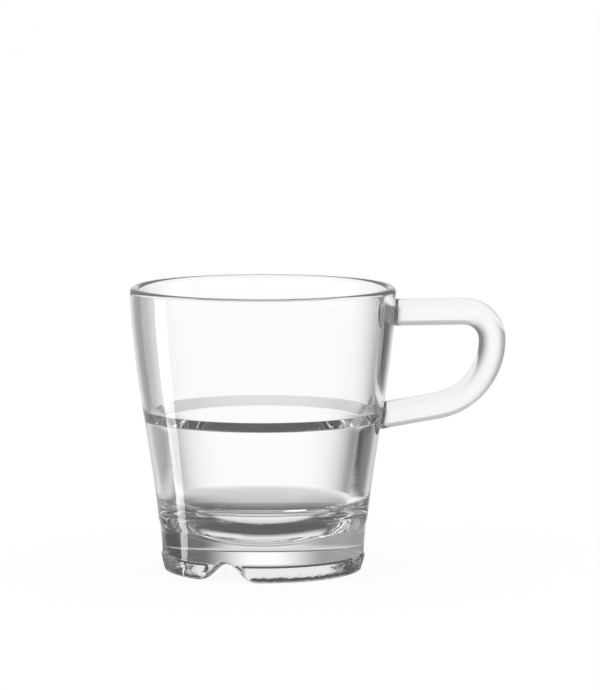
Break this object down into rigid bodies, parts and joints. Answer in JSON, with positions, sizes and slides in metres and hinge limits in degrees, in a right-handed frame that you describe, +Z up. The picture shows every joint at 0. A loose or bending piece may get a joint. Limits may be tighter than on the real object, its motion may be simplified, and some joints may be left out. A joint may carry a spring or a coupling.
{
  "type": "espresso cup",
  "caption": "Clear glass espresso cup: a tapered pressed body with an inner stacking ledge, a bowl-shaped floor and a notched foot ring, and a bent glass rod handle fused to its wall.",
  "frame": {"origin": "on the table, below the middle of the cup's overall length with its handle", "axes": "+X from the cup towards its handle, +Z up along the cup's axis, +Y across"},
  "size_m": [0.0856, 0.06, 0.064],
  "materials": {
    "pressed_glass": "clear and colourless, fire-polished outside, with the faint ripple of pressed glass inside",
    "rod_glass": "clear and colourless, smooth and fire-polished"
  },
  "bodies": {
    "root": {"cup_body": "pressed_glass", "handle": "rod_glass", "upper_handle_pad": "rod_glass", "lower_handle_pad": "rod_glass"}
  },
  "joints": []
}
